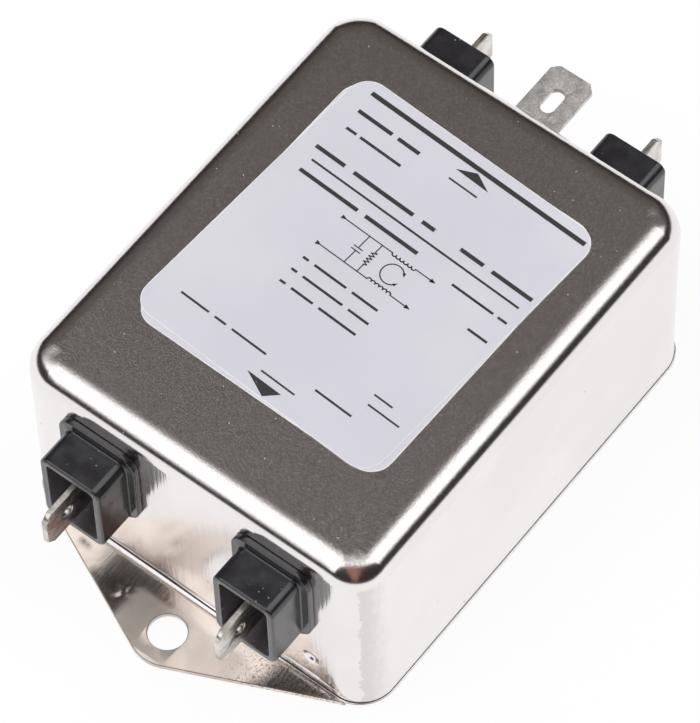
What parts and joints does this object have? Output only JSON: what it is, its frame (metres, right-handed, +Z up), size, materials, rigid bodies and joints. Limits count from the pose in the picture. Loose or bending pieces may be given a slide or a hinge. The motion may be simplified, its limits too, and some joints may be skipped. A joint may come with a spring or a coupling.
{
  "type": "power line filter",
  "caption": "Chassis-mount power line filter: drawn metal can on an eared plate, shrouded blade terminals at both ends, a ground tab at the line end.",
  "frame": {"origin": "midway between the two mounting holes, on the underside of the mounting plate", "axes": "+Z up through the label; +Y towards the line end, which has the ground tab; +X to the right when seen from the load end"},
  "size_m": [0.0532, 0.0874, 0.0314],
  "materials": {
    "can_nickel": "nickel-plated drawn steel, satin on the top and bright on the walls",
    "plate_nickel": "nickel-plated steel sheet",
    "pan_nickel": "nickel-plated steel sheet",
    "label_stock": "pale polyester label, printed on the upper one",
    "housing_plastic": "moulded black plastic",
    "blade_tin": "tin-plated brass strip",
    "ground_tin": "dull tin-plated steel",
    "rivet_nickel": "nickel-plated steel rivet",
    "core_coating": "ring core with an epoxy coating",
    "divider_board": "pressed board",
    "enamelled_copper": "enamelled copper wire",
    "capacitor_case": "moulded box",
    "tinned_lead": "tinned copper wire",
    "resistor_body": "lacquered body",
    "sheet_board": "pressed insulating board",
    "liner_board": "pressed insulating board"
  },
  "bodies": {
    "root": {"case": "can_nickel", "mounting_plate": "plate_nickel", "closing_pan": "pan_nickel", "under_label": "label_stock", "label": "label_stock", "load_housing_left": "housing_plastic", "load_housing_right": "housing_plastic", "line_housing_left": "housing_plastic", "line_housing_right": "housing_plastic", "load_blade_left": "blade_tin", "load_blade_right": "blade_tin", "line_blade_left": "blade_tin", "line_blade_right": "blade_tin", "ground_tab": "ground_tin", "ground_rivet": "rivet_nickel", "choke_core": "core_coating", "choke_divider": "divider_board", "winding_left": "enamelled_copper", "winding_right": "enamelled_copper", "capacitor": "capacitor_case", "capacitor_leads": "tinned_lead", "resistor": "resistor_body", "resistor_leads": "tinned_lead", "insulating_sheet": "sheet_board", "insulating_liner": "liner_board"}
  },
  "joints": []
}
